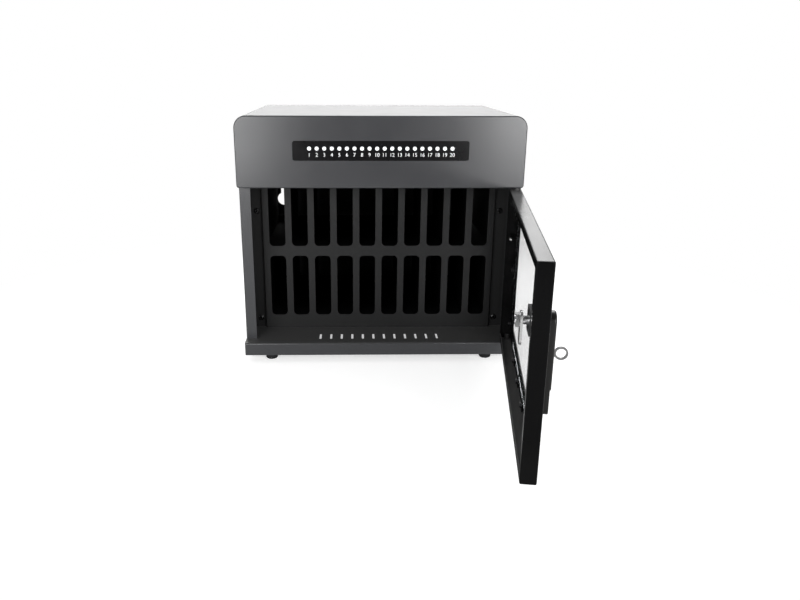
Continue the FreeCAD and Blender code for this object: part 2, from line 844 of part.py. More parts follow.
def status_lights():
    face = front - 2 * d.strip_proud
    radius = d.led_radius
    body = turned(
        -(d.led_count - 1) * led_pitch / 2,
        face,
        head_z + d.strip_low + d.led_rise,
        [
            (0, 0),
            (d.led_flat, 0),
            (radius, d.led_crown),
            (radius, d.led_length),
            (0, d.led_length),
        ],
        plane="XY",
    )
    pattern(body, body.Tip, "X", led_pitch, d.led_count)
    keep(body, "status_lights")
    board_y = face + d.led_length
    low = head_z + d.strip_low
    board = block(
        (-d.strip_width / 2, d.strip_width / 2),
        (board_y, board_y + d.board_gauge),
        (low, low + d.strip_height),
    )
    keep(board, "light_board")


def socket_panel():
    body = new_body()
    half_width = port_panel_half
    half_depth = d.port_panel_depth / 2
    play = d.running_fit
    inside_z = head_z + gauge
    plug = rectangle(
        sketch(body, "XY", level=head_z),
        (-half_width + play, half_width - play),
        (port_y - half_depth + play, port_y + half_depth - play),
    )
    pad(body, plug, gauge)
    lip = rectangle(
        sketch(body, "XY", level=inside_z),
        (-half_width - d.port_panel_lip, half_width + d.port_panel_lip),
        (port_y - half_depth - d.port_panel_lip, port_y + half_depth + d.port_panel_lip),
    )
    pad(body, lip, gauge)
    start = -(d.port_count - 1) * port_pitch / 2
    hole = rectangle(
        sketch(body, "XY", level=inside_z + gauge),
        (start - d.port_width / 2 - play, start + d.port_width / 2 + play),
        (port_y - d.port_length / 2 - play, port_y + d.port_length / 2 + play),
    )
    pattern(body, pocket(body, hole, 2 * gauge), "X", port_pitch, d.port_count)
    keep(body, "socket_panel")


def charging_sockets():
    body = new_body()
    start = -(d.port_count - 1) * port_pitch / 2
    shell = rectangle(
        sketch(body, "XY", level=head_z),
        (start - d.port_width / 2, start + d.port_width / 2),
        (port_y - d.port_length / 2, port_y + d.port_length / 2),
    )
    tube = pad(body, shell, d.port_height)
    mouth = rectangle(
        sketch(body, "XY", level=head_z),
        (start - d.port_width / 2 + d.port_wall, start + d.port_width / 2 - d.port_wall),
        (port_y - d.port_length / 2 + d.port_wall, port_y + d.port_length / 2 - d.port_wall),
    )
    hollow = pocket(body, mouth, d.port_height - d.port_wall, True)
    row = pattern(body, tube, "X", port_pitch, d.port_count)
    row.Originals = [tube, hollow]
    keep(body, "charging_sockets")
    board_z = head_z + d.port_height
    board = block(
        (-port_panel_half, port_panel_half),
        (port_y - d.port_panel_depth / 2, port_y - d.port_panel_depth / 2 + d.charger_depth),
        (board_z, board_z + d.board_gauge),
    )
    keep(board, "charger_board")


def power_supply():
    across = (-half + d.supply_left, half - d.supply_right)
    deep = (rear - d.supply_rear - d.supply_depth, rear - d.supply_rear)
    top = head_z + gauge + d.supply_height
    box = block(across, deep, (head_z + gauge, top))
    wall = d.supply_wall
    inside = block(
        (across[0] + wall, across[1] - wall), (deep[0] + wall, deep[1] - wall), (head_z, top - wall)
    )
    shell = rounded(box, d.edge_round, lambda edge: along(edge, "Z"))
    keep(cut(shell, [inside]), "power_supply")


def fan():
    outer = half - gauge
    inner = outer - d.fan_depth
    side = d.fan_size / 2
    frame = block((inner, outer), (fan_y - side, fan_y + side), (fan_z - side, fan_z + side))
    bore = rod(d.fan_bore, d.fan_depth + 2 * OVERCUT, "X", inner - OVERCUT, fan_y, fan_z)
    strut = d.fan_strut / 2
    plate = d.fan_plate
    motor = rod(d.fan_hub, plate, "X", inner, fan_y, fan_z)
    pin = rod(d.fan_pin, d.fan_pin_length, "X", inner, fan_y, fan_z)
    reach = d.fan_bore + d.fan_strut_sink
    level = block(
        (inner, inner + plate), (fan_y - reach, fan_y + reach), (fan_z - strut, fan_z + strut)
    )
    upright = block(
        (inner, inner + plate), (fan_y - strut, fan_y + strut), (fan_z - reach, fan_z + reach)
    )
    keep(join([cut(frame, [bore]), motor, pin, level, upright]), "fan_frame")

    body = new_body()
    locate(body, 0, fan_y, fan_z)
    start = inner + plate + d.fan_clearance
    end = outer - d.fan_recess
    hub = polygon(
        sketch(body, "XZ"),
        [
            (start, d.fan_pin + d.running_fit),
            (end - d.fan_cap, d.fan_pin + d.running_fit),
            (end - d.fan_cap, 0),
            (end, 0),
            (end, d.fan_hub - d.fan_cap),
            (end - d.fan_cap, d.fan_hub),
            (start, d.fan_hub),
        ],
    )
    revolve(body, hub, "H_Axis")
    first = start + d.blade_edge
    last = end - d.blade_edge
    blade = polygon(
        sketch(body, "XY", level=d.fan_hub - d.blade_root),
        [
            (first, -d.blade_chord),
            (first + d.blade_gauge, -d.blade_chord),
            (last, d.blade_chord),
            (last - d.blade_gauge, d.blade_chord),
        ],
    )
    wing = pad(body, blade, d.fan_tip - d.fan_hub + d.blade_root)
    ring = body.newObject("PartDesign::PolarPattern", "Blades")
    ring.Originals = [wing]
    ring.Axis = (origin_feature(body, "X_Axis"), [""])
    ring.Angle = 360
    bind(ring, "Occurrences", d.fan_blades)
    body.Tip = ring
    keep(body, "fan_rotor")


def bezel_body(middle, width, height, length, lip):
    """Snap-in housing on the left wall with a lip outside it."""
    play = d.running_fit
    inside = block(
        (-half, -half + length),
        (middle - width / 2 + play, middle + width / 2 - play),
        (mains_z - height / 2 + play, mains_z + height / 2 - play),
    )
    outside = block(
        (-half - lip, -half),
        (middle - width / 2 - lip, middle + width / 2 + lip),
        (mains_z - height / 2 - lip, mains_z + height / 2 + lip),
    )
    return join([inside, outside])


def inlet():
    wall = d.inlet_wall
    housing = bezel_body(inlet_y, d.inlet_width, d.inlet_height, d.inlet_length, d.bezel_lip)
    mouth_y = (inlet_y - d.inlet_width / 2 + wall, inlet_y + d.inlet_width / 2 - wall)
    mouth_z = (mains_z - d.inlet_height / 2 + wall, mains_z + d.inlet_height / 2 - wall)
    mouth = block((-half - 2 * d.bezel_lip, -half + d.inlet_length - wall), mouth_y, mouth_z)
    keep(cut(housing, [mouth]), "inlet_socket")
    root = -half + d.inlet_length - wall
    places = (
        (inlet_y - d.contact_pitch, mains_z - d.contact_drop),
        (inlet_y, mains_z + d.contact_rise),
        (inlet_y + d.contact_pitch, mains_z - d.contact_drop),
    )
    contacts = [
        block(
            (-half + d.bezel_lip, root),
            (y - d.contact_gauge / 2, y + d.contact_gauge / 2),
            (z - d.contact_width / 2, z + d.contact_width / 2),
        )
        for y, z in places
    ]
    keep(group(contacts), "inlet_contacts")


def switch():
    wall = d.switch_wall
    mouth_half = d.rocker_width / 2 + d.rocker_play
    housing = bezel_body(switch_y, d.switch_width, d.switch_height, d.switch_length, d.bezel_lip)
    mouth = block(
        (-half - 2 * d.bezel_lip, -half + d.switch_length - 2 * wall),
        (switch_y - d.switch_width / 2 + wall, switch_y + d.switch_width / 2 - wall),
        (mains_z - mouth_half, mains_z + mouth_half),
    )
    pivot_reach = d.switch_height / 2 - d.switch_skin
    axle_x = -half + d.axle_depth
    axle = rod(d.axle_radius, 2 * pivot_reach, "Z", axle_x, switch_y, mains_z - pivot_reach)
    keep(join([cut(housing, [mouth]), axle]), "switch_body")

    body = new_body()
    locate(body, axle_x, switch_y, 0)
    bind(body, "Placement.Rotation.Angle", d.rocker_tilt)
    long = d.rocker_half
    outline = polygon(
        sketch(body, "XY", level=mains_z - d.rocker_width / 2),
        [
            (d.rocker_keel, -d.rocker_keel_half),
            (d.rocker_keel, d.rocker_keel_half),
            (0, long),
            (-d.rocker_rise, long),
            (-d.rocker_dish, 0),
            (-d.rocker_rise, -long),
            (0, -long),
        ],
    )
    pad(body, outline, d.rocker_width)
    bore = circle(
        sketch(body, "XY", level=mains_z + d.rocker_width / 2), 0, 0, d.axle_radius + d.running_fit
    )
    pocket(body, bore, d.rocker_width)
    keep(body, "switch_rocker")


# Rack


def slot_plate():
    body = new_body()
    ear = plate_half + d.ear_width
    outline = polygon(
        sketch(body, "XY", level=floor_z),
        [
            (-plate_half, rack_y),
            (plate_half, rack_y),
            (plate_half, ear_y),
            (ear, ear_y),
            (ear, ear_y + gauge),
            (plate_half - gauge, ear_y + gauge),
            (plate_half - gauge, plate_back),
            (-plate_half + gauge, plate_back),
            (-plate_half + gauge, ear_y + gauge),
            (-ear, ear_y + gauge),
            (-ear, ear_y),
            (-plate_half, ear_y),
        ],
    )
    sheet_body = pad(body, outline, plate_top - floor_z)
    soften(
        body,
        sheet_body,
        d.plate_round,
        lambda edge: along(edge, "Z") and lies_at(edge, "Y", rack_y),
    )
    start = -(d.slot_columns - 1) * slot_pitch / 2
    slot = rounded_rectangle(
        sketch(body, "XZ", level=rack_y),
        (start - slot_width / 2, start + slot_width / 2),
        (lower_slot, lower_slot + d.slot_height),
        d.slot_round,
        d.slot_round,
    )
    opening = pocket(body, slot, 2 * gauge)
    rise = d.slot_height + d.row_gap
    pattern(body, opening, "X", slot_pitch, d.slot_columns, ("Z", rise, 2))
    low = floor_z + d.ear_screw_low
    hole = pocket(
        body,
        circle(sketch(body, "XZ", level=ear_y), -ear_screw_x, low, d.screw_radius + d.running_fit),
        2 * gauge,
    )
    pattern(body, hole, "X", 2 * ear_screw_x, as_size(2), ("Z", d.ear_screw_rise, 2))
    keep(body, "slot_plate")


def rack_rails():
    back = ear_y + gauge
    behind = block(
        (plate_half + gauge, half - gauge), (back, back + gauge), (floor_z, plate_top)
    )
    beside = block(
        (half - 2 * gauge, half - gauge), (back, back + d.rail_depth), (floor_z, plate_top)
    )
    holes = [
        rod(
            d.screw_radius + d.running_fit,
            3 * gauge,
            "Y",
            ear_screw_x,
            back - gauge,
            floor_z + d.ear_screw_low + rise,
        )
        for rise in (as_size(0), d.ear_screw_rise)
    ]
    right = cut(join([behind, beside]), holes)
    keep(mirrored(right), "left_rail")
    keep(right, "right_rail")


def ear_screws():
    head = d.screw_head
    length = 4 * gauge
    body = turned(
        -ear_screw_x,
        ear_y,
        floor_z + d.ear_screw_low,
        [
            (0, -d.screw_crown),
            (d.screw_flat, -d.screw_crown),
            (head, -d.screw_rim),
            (head, 0),
            (d.screw_radius, 0),
            (d.screw_radius, length),
            (0, length),
        ],
        plane="XY",
    )
    pattern(body, body.Tip, "X", 2 * ear_screw_x, as_size(2), ("Z", d.ear_screw_rise, 2))
    keep(body, "ear_screws")


def shelf(level, label):
    body = new_body()
    outline = polygon(
        sketch(body, "YZ", level=-cheek_x),
        [
            (plate_back, level - gauge),
            (rack_end + gauge, level - gauge),
            (rack_end + gauge, level + d.stop_height),
            (rack_end, level + d.stop_height),
            (rack_end, level),
            (plate_back, level),
        ],
    )
    pad(body, outline, 2 * cheek_x)
    keep(body, label)


def dividers(low, high, label):
    body = new_body()
    start = -cheek_x + slot_pitch
    outline = rectangle(
        sketch(body, "XY", level=low),
        (start - d.divider_gauge / 2, start + d.divider_gauge / 2),
        (plate_back, rack_end),
    )
    pattern(body, pad(body, outline, high - low), "X", slot_pitch, d.slot_columns - 1)
    keep(body, label)


def cheeks():
    wall = block((cheek_x, cheek_x + gauge), (plate_back, rack_end + gauge), (floor_z, plate_top))
    foot = block(
        (cheek_x, cheek_x + d.cheek_foot),
        (ear_y + 3 * gauge, rack_end + gauge),
        (floor_z, floor_z + gauge),
    )
    right = join([wall, foot])
    keep(mirrored(right), "left_cheek")
    keep(right, "right_cheek")


# Hinge


def hinge_pin(tip, seat, label):
    """Pin with its collar behind the sheet that it stands in."""
    away = 1 if seat.value > tip.value else -1
    outline = [
        (0, tip),
        (d.hinge_radius, tip),
        (d.hinge_radius, seat),
        (collar_radius, seat),
        (collar_radius, seat + away * d.collar_height),
        (0, seat + away * d.collar_height),
    ]
    keep(turned(pivot_x, pivot_y, 0, outline), label)


def hinge_bush(edge, outward, label):
    """Flanged bush in the door's edge; outward is the direction of its flange."""
    bore = d.hinge_radius + d.running_fit
    barrel = bore + d.bush_wall
    flange = edge + outward * (d.door_gap - d.bush_gap)
    inner = edge - outward * (d.hinge_reach + d.bush_tail)
    outline = [
        (bore, inner),
        (barrel, inner),
        (barrel, edge),
        (d.bush_flange, edge),
        (d.bush_flange, flange),
        (bore, flange),
    ]
    hang(turned(0, 0, 0, outline), label)


# Door


def door_pan():
    pan = block((door_left, door_right), (door_face, door_inner), (door_low, door_high))
    pan = rounded(pan, d.door_round, lambda edge: True)
    cavity = block(
        (door_left + gauge, door_right - gauge),
        (door_skin, door_inner - gauge),
        (door_low + gauge, door_high - gauge),
    )
    mouth = block(
        (door_left + d.door_return, door_right - d.hinge_return),
        (door_inner - 2 * gauge, door_inner + gauge),
        (door_low + d.door_return, door_high - d.door_return),
    )
    window = rounded(
        block((window_left, window_right), (door_face - gauge, door_skin + gauge), (window_low, window_high)),
        d.window_round,
        lambda edge: along(edge, "Y"),
    )
    seat = d.hinge_radius + d.bush_wall + 2 * d.running_fit
    bush_holes = [
        rod(seat, 3 * gauge, "Z", 0, 0, door_low - gauge),
        rod(seat, 3 * gauge, "Z", 0, 0, door_high - 2 * gauge),
    ]
    spindle = rod(d.spindle_radius + d.spindle_play, 3 * gauge, "Y", lock_x, door_face - gauge, lock_z)
    hang(cut(pan, [cavity, mouth, window, spindle] + bush_holes), "door_pan")


def window_parts():
    pane = block(
        (window_left - d.pane_lap, window_right + d.pane_lap),
        (door_skin, pane_back),
        (window_low - d.pane_lap, window_high + d.pane_lap),
    )
    hang(rounded(pane, d.window_round, lambda edge: along(edge, "Y")), "window_pane")
    middle_x = (window_left + window_right) / 2
    middle_z = (window_low + window_high) / 2
    places = []
    for x in (window_left - d.stud_offset, window_right + d.stud_offset):
        places += [(x, middle_z + step * d.stud_rise) for step in (-1, 0, 1)]
    for z in (window_low - d.stud_offset, window_high + d.stud_offset):
        places += [(middle_x + step * d.stud_run, z) for step in (-1, 0, 1)]
    studs = []
    clips = []
    nuts = []
    bore = d.stud_radius + d.running_fit
    clip_back = pane_back + d.clip_gauge
    for x, z in places:
        studs.append(rod(d.stud_radius, d.stud_length, "Y", x, door_skin, z))
        clip = rod(d.clip_radius, d.clip_gauge, "Y", x, pane_back, z)
        through = d.clip_gauge + 2 * OVERCUT
        clips.append(cut(clip, [rod(bore, through, "Y", x, pane_back - OVERCUT, z)]))
        nut = hexagon(d.nut_radius, d.nut_height, "Y", x, clip_back, z)
        through = d.nut_height + 2 * OVERCUT
        nuts.append(cut(nut, [rod(bore, through, "Y", x, clip_back - OVERCUT, z)]))
    hang(group(studs), "window_studs")
    hang(group(clips), "window_clips")
    hang(group(nuts), "window_nuts")


def earth_stud():
    place = (door_right - d.earth_inset, 0, floor_z + d.earth_z)
    end = door_skin + d.earth_length
    seat = end - d.earth_cap_height
    tip = end - d.earth_roof
    bore = d.earth_stem + d.running_fit
    stud = turned(
        *place,
        [
            (0, door_skin),
            (d.earth_base, door_skin),
            (d.earth_base, door_skin + d.earth_base_height),
            (d.earth_stem, door_skin + d.earth_base_height),
            (d.earth_stem, tip),
            (0, tip),
        ],
        plane="XY",
    )
    hang(stud, "earth_stud")
    nut = turned(
        *place,
        [
            (bore, seat),
            (d.earth_cap, seat),
            (d.earth_cap, end - d.earth_bevel),
            (d.earth_cap - d.earth_bevel, end),
            (0, end),
            (0, tip),
            (bore, tip),
        ],
        plane="XY",
    )
    hang(nut, "earth_nut")


# Lock


def grip_bar():
    body = new_body()
    side = d.grip_width / 2
    low = floor_z + d.grip_low
    outline = rounded_rectangle(
        sketch(body, "XZ", level=door_face),
        (lock_x - side, lock_x + side),
        (low, lock_z + d.grip_over),
        d.grip_low_round,
        d.grip_top_round,
    )
    bar = pad(body, outline, d.grip_proud)
    soften(body, bar, d.edge_round, lambda edge: lies_at(edge, "Y", grip_face))
    step = rectangle(
        sketch(body, "XZ", level=grip_face),
        (lock_x - 2 * side, lock_x + 2 * side),
        (low - side, low + d.grip_step_high),
    )
    pocket(body, step, d.grip_step)
    knob = circle(sketch(body, "XZ", level=grip_face), lock_x, lock_z, d.knob_radius + d.running_fit)
    pocket(body, knob, d.grip_proud)
    plug = circle(sketch(body, "XZ", level=grip_face), lock_x, key_z, d.plug_radius + d.running_fit)
    pocket(body, plug, d.plug_depth)
    hang(body, "grip_bar")


def lock_housing():
    side = d.housing_width / 2
    housing = rounded(
        block((lock_x - side, lock_x + side), (door_skin, door_inner), (lock_z - side, lock_z + side)),
        d.edge_round,
        lambda edge: along(edge, "Y"),
    )
    bore = rod(
        d.spindle_radius + d.running_fit, d.door_thickness, "Y", lock_x, door_skin - OVERCUT, lock_z
    )
    hang(cut(housing, [bore]), "lock_housing")


def turn_knob():
    tail = cam_y + d.cam_gauge + d.cam_nut_height + d.spindle_tail
    spindle = turned(
        lock_x,
        0,
        lock_z,
        [
            (0, grip_face),
            (d.knob_radius - d.knob_bevel, grip_face),
            (d.knob_radius, grip_face + d.knob_bevel),
            (d.knob_radius, grip_face + d.knob_depth),
            (d.spindle_radius, grip_face + d.knob_depth),
            (d.spindle_radius, tail),
            (0, tail),
        ],
        plane="XY",
    )
    for side in (-1, 1):
        near = lock_x + side * d.knob_web
        far = lock_x + side * (d.knob_radius - d.knob_web)
        edges = (near, far) if side > 0 else (far, near)
        hollow = rectangle(
            sketch(spindle, "XZ", level=grip_face),
            edges,
            (lock_z - d.knob_hollow, lock_z + d.knob_hollow),
        )
        pocket(spindle, hollow, d.knob_depth - d.knob_floor)
    hang(spindle, "turn_knob")


def lock_cam():
    body = new_body()
    outline = rounded_rectangle(
        sketch(body, "XZ", level=cam_y),
        (lock_x - d.cam_half, lock_x + d.cam_half),
        (lock_z - d.cam_reach, lock_z + d.cam_crown),
        d.cam_tip_round,
        d.cam_top_round,
    )
    pad(body, outline, d.cam_gauge, True)
    bore = circle(
        sketch(body, "XZ", level=cam_y), lock_x, lock_z, d.spindle_radius + d.running_fit
    )
    pocket(body, bore, d.cam_gauge)
    hang(body, "lock_cam")
    nut_y = cam_y + d.cam_gauge
    nut = hexagon(d.cam_nut_radius, d.cam_nut_height, "Y", lock_x, nut_y, lock_z)
    through = d.cam_nut_height + 2 * OVERCUT
    thread = rod(
        d.spindle_radius + d.running_fit, through, "Y", lock_x, nut_y - OVERCUT, lock_z
    )
    hang(cut(nut, [thread]), "cam_nut")


def key_and_plug():
    slot_half = d.key_blade / 2 + d.key_play
    slot_side = d.key_gauge / 2 + d.running_fit
    slot_end = grip_face + d.plug_depth - d.plug_floor
    plug = rod(d.plug_radius, d.plug_depth - d.plug_seat, "Y", lock_x, grip_face, key_z)
    slot = block(
        (lock_x - slot_side, lock_x + slot_side),
        (grip_face - OVERCUT, slot_end),
        (key_z - slot_half, key_z + slot_half),
    )
    hang(cut(plug, [slot]), "lock_plug")
    side = d.key_gauge / 2
    bow_y = grip_face - d.key_bow - d.key_neck
    blade = block(
        (lock_x - side, lock_x + side),
        (bow_y + d.key_eye, slot_end - d.key_tip),
        (key_z - d.key_blade / 2, key_z + d.key_blade / 2),
    )
    disc = rod(d.key_bow, d.key_gauge, "X", lock_x - side, bow_y, key_z)
    eye = rod(d.key_eye, d.key_gauge + 2 * OVERCUT, "X", lock_x - side - OVERCUT, bow_y, key_z)
    hang(cut(join([blade, disc]), [eye]), "key")


def back_screws():
    body = turned(
        -half + d.rear_flange / 2,
        rear,
        floor_z + d.back_margin,
        [
            (0, d.back_crown),
            (d.back_flat, d.back_crown),
            (d.back_head, d.back_rim),
            (d.back_head, 0),
            (0, 0),
        ],
        plane="XY",
    )
    run = d.case_width - d.rear_flange
    rise = (bay_height - 2 * d.back_margin) / (d.back_rows - 1)
    pattern(body, body.Tip, "X", run, as_size(2), ("Z", rise, d.back_rows))
    keep(body, "back_screws")


base_tray()
feet()
side_walls()
back_panel()
back_screws()
head_cover()
head_back()
status_strip()
status_lights()
socket_panel()
charging_sockets()
power_supply()
fan()
inlet()
switch()
slot_plate()
rack_rails()
ear_screws()
shelf(lower_slot, "lower_shelf")
shelf(upper_slot, "upper_shelf")
dividers(lower_slot, upper_slot - gauge, "lower_dividers")
dividers(upper_slot, plate_top, "upper_dividers")
cheeks()
hinge_pin(door_high - d.hinge_reach, head_z + gauge, "upper_hinge_pin")
hinge_pin(door_low + d.hinge_reach, floor_z - gauge, "lower_hinge_pin")
hinge_bush(door_high, 1, "upper_hinge_bush")
hinge_bush(door_low, -1, "lower_hinge_bush")
door_pan()
window_parts()
earth_stud()
grip_bar()
lock_housing()
turn_knob()
lock_cam()
key_and_plug()
doc.recompute()

for item in doc.Objects:
    if "Invalid" in item.State or "Error" in item.State:
        raise RuntimeError(f"{item.Label} has state {item.State}")

os.makedirs("parts", exist_ok=True)
for item in nodes:
    if item.Shape.isNull() or not item.Shape.isValid():
        raise RuntimeError(f"{item.Label} has no valid shape")
    item.Shape.exportStep(f"parts/{item.Label}.step")
    print(item.Label, len(item.Shape.Solids), round(item.Shape.Volume))
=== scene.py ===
import math

import bmesh
import bpy
from bpy.props import FloatProperty, FloatVectorProperty, IntProperty, PointerProperty
from mathutils import Matrix, Vector


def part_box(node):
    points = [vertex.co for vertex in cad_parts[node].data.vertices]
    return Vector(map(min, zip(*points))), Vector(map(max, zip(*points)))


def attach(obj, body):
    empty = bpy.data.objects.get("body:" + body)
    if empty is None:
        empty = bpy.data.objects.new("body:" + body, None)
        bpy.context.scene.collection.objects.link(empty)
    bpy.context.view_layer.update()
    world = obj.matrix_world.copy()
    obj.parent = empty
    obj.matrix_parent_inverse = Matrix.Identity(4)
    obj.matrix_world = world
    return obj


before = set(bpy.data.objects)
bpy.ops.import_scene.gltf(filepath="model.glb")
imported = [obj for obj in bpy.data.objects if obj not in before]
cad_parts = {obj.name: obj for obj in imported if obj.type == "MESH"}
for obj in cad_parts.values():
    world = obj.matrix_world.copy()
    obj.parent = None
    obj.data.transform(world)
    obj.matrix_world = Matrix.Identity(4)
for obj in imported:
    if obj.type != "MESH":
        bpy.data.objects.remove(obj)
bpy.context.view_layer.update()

bl_info = {
    "name": "Charging cabinet looks",
    "version": (1, 0, 0),
    "blender": (4, 5, 0),
    "location": "3D View > Sidebar > Cabinet",
    "description": "Finishes and small pieces of a device charging cabinet",
    "category": "Object",
}

# Photograph frame and camera, in pixels, radians and metres
IMAGE_WIDTH = 800
IMAGE_HEIGHT = 600
FOCAL_PX = 699.4
CENTRE_PX = (368.5, 290.4)
CAMERA_YAW = 0.02049
CAMERA_PITCH = 0.3074
CAMERA_ROLL = 0.003395
CAMERA_PLACE = (-0.0342, -1.050, 0.3984)
SENSOR_WIDTH_MM = 36.0
VIEW_DISTANCE = 50.0

# Lamps: name, place, target, size and power
LAMPS = (
    ("left_soft_box", (-1.08, -2.3, 0.58), (0.0, -0.1, 0.25), 1.4, 50.0),
    ("right_soft_box", (1.22, -2.3, 0.6), (0.0, -0.1, 0.25), 1.4, 62.0),
    ("back_soft_box", (0.0, 2.4, 1.86), (0.0, 0.0, 0.3), 2.4, 82.0),
)

# Strength of the world as ambient light
AMBIENT = 0.55

# Brightness of the room as gloss mirrors it, in front and behind, and the directions along Y where it turns
ROOM_FRONT = 0.03
ROOM_BEHIND = 0.8
ROOM_TURN = (-0.9, 0.3)

# Floor: half width, grey, brightness kept in the object's shadow, and distances where it fades to plain white
FLOOR_REACH = 1.4
FLOOR_GREY = 0.7
FLOOR_LIFT = 0.55
FLOOR_FADE = (0.3, 0.75)

# Values of a noise pattern where a mottled colour is darkest and lightest
MOTTLE_RANGE = (0.3, 0.7)

# Upward part of a face's normal where painted light on upward faces starts, and where it is full
TOP_LIGHT_TILT = (0.6, 0.95)

# Window pane: index of refraction, and the share that mirrors face-on and edge-on
PANE_IOR = 1.45
PANE_MIRROR = (0.02, 0.27)

# Heights on the door below which its paint is dull, and above which it is glossy
DOOR_DULL = (0.05, 0.08)

# Numerals: height as a share of the type size, depth, lift off the strip and thinning as a share of the height
NUMERAL_SHARE = 0.7
NUMERAL_DEPTH = 0.00003
NUMERAL_LIFT = 0.00001
NUMERAL_THINNING = 0.009


class CabinetFinish(bpy.types.PropertyGroup):
    """Colours that a user would change."""

    case_paint: FloatVectorProperty(
        name="Case paint", description="Colour of the case", subtype="COLOR", default=(0.024, 0.0246, 0.0268)
    )
    rack_paint: FloatVectorProperty(
        name="Rack paint", description="Colour of the rack", subtype="COLOR", default=(0.0055, 0.0056, 0.0058)
    )
    door_paint: FloatVectorProperty(
        name="Door paint", description="Colour of the door", subtype="COLOR", default=(0.0012, 0.0012, 0.0013)
    )
    # Darker than the rack paint: painted shade inside the slots
    compartment_painted_shade: FloatVectorProperty(
        name="Compartments", description="Colour inside the slots", subtype="COLOR", default=(0.003, 0.003, 0.0033)
    )
    strip_black: FloatVectorProperty(
        name="Strip", description="Colour of the status strip", subtype="COLOR", default=(0.004, 0.004, 0.0043)
    )
    numeral_white: FloatVectorProperty(
        name="Numerals", description="Colour of the numerals", subtype="COLOR", default=(0.7, 0.71, 0.73)
    )


class CabinetSizes(bpy.types.PropertyGroup):
    """Sizes that a user would change."""

    numeral_height: FloatProperty(
        name="Numeral height", description="Height of a numeral", unit="LENGTH", default=0.0047
    )
    numeral_drop: FloatProperty(
        name="Numeral drop", description="Numerals below the lights", unit="LENGTH", default=0.0082
    )
    light_count: IntProperty(name="Lights", description="Number of status lights", default=20, min=2)
    cross_length: FloatProperty(
        name="Cross length", description="Length of a screw's cross recess", unit="LENGTH", default=0.003
    )
    cross_width: FloatProperty(
        name="Cross width", description="Width of a screw's cross recess", unit="LENGTH", default=0.0007
    )


# Shader helpers


def new_finish(name):
    material = bpy.data.materials.new(name)
    material.use_nodes = True
    return material, material.node_tree, material.node_tree.nodes["Principled BSDF"]


def object_pattern(tree, kind, scale, detail=2.0):
    """Procedural texture on the piece's own coordinates."""
    place = tree.nodes.new("ShaderNodeTexCoord")
    texture = tree.nodes.new(kind)
    texture.inputs["Scale"].default_value = scale
    if "Detail" in texture.inputs:
        texture.inputs["Detail"].default_value = detail
    tree.links.new(place.outputs["Object"], texture.inputs["Vector"])
    return texture


def ramp_between(tree, value, low, high):
    ramp = tree.nodes.new("ShaderNodeValToRGB")
    ramp.color_ramp.elements[0].position = MOTTLE_RANGE[0]
    ramp.color_ramp.elements[0].color = (*low, 1)
    ramp.color_ramp.elements[1].position = MOTTLE_RANGE[1]
    ramp.color_ramp.elements[1].color = (*high, 1)
    tree.links.new(value, ramp.inputs["Fac"])
    return ramp.outputs["Color"]


def shade(colour, factor):
    return tuple(min(1.0, channel * factor) for channel in colour)


def varied_colour(tree, shader, colour, spread, scale):
    mottle = object_pattern(tree, "ShaderNodeTexNoise", scale, 3.0)
    mixed = ramp_between(tree, mottle.outputs["Fac"], shade(colour, 1 - spread), shade(colour, 1 + spread))
    tree.links.new(mixed, shader.inputs["Base Color"])


def varied_roughness(tree, shader, low, high, scale):
    wear = object_pattern(tree, "ShaderNodeTexNoise", scale, 2.0)
    span = tree.nodes.new("ShaderNodeMapRange")
    span.inputs["To Min"].default_value = low
    span.inputs["To Max"].default_value = high
    tree.links.new(wear.outputs["Fac"], span.inputs["Value"])
    tree.links.new(span.outputs["Result"], shader.inputs["Roughness"])


def fine_bump(tree, shader, texture_output, strength, depth):
    bump = tree.nodes.new("ShaderNodeBump")
    bump.inputs["Strength"].default_value = strength
    bump.inputs["Distance"].default_value = depth
    tree.links.new(texture_output, bump.inputs["Height"])
    tree.links.new(bump.outputs["Normal"], shader.inputs["Normal"])


def powder_paint(name, colour, roughness, gloss):
    """Powder coat: faint mottling and a fine orange peel."""
    material, tree, shader = new_finish(name)
    shader.inputs["Specular IOR Level"].default_value = gloss
    varied_colour(tree, shader, colour, 0.06, 9.0)
    varied_roughness(tree, shader, roughness - 0.03, roughness + 0.03, 40.0)
    peel = object_pattern(tree, "ShaderNodeTexNoise", 900.0, 1.0)
    fine_bump(tree, shader, peel.outputs["Fac"], 0.06, 0.00008)
    return material


def moulded_plastic(name, colour, roughness, gloss=0.5):
    material, tree, shader = new_finish(name)
    shader.inputs["Specular IOR Level"].default_value = gloss
    varied_colour(tree, shader, colour, 0.05, 20.0)
    varied_roughness(tree, shader, roughness - 0.04, roughness + 0.04, 60.0)
    grain = object_pattern(tree, "ShaderNodeTexNoise", 2600.0, 1.0)
    fine_bump(tree, shader, grain.outputs["Fac"], 0.08, 0.00005)
    return material


def plated_metal(name, colour, roughness):
    """Bright metal with a faint streaked polish."""
    material, tree, shader = new_finish(name)
    shader.inputs["Metallic"].default_value = 1.0
    varied_colour(tree, shader, colour, 0.06, 120.0)
    varied_roughness(tree, shader, roughness - 0.05, roughness + 0.05, 300.0)
    return material


def rubber_finish(name, colour):
    material, tree, shader = new_finish(name)
    shader.inputs["Specular IOR Level"].default_value = 0.1
    varied_colour(tree, shader, colour, 0.1, 50.0)
    varied_roughness(tree, shader, 0.7, 0.85, 80.0)
    grain = object_pattern(tree, "ShaderNodeTexNoise", 1800.0, 1.0)
    fine_bump(tree, shader, grain.outputs["Fac"], 0.15, 0.0001)
    return material


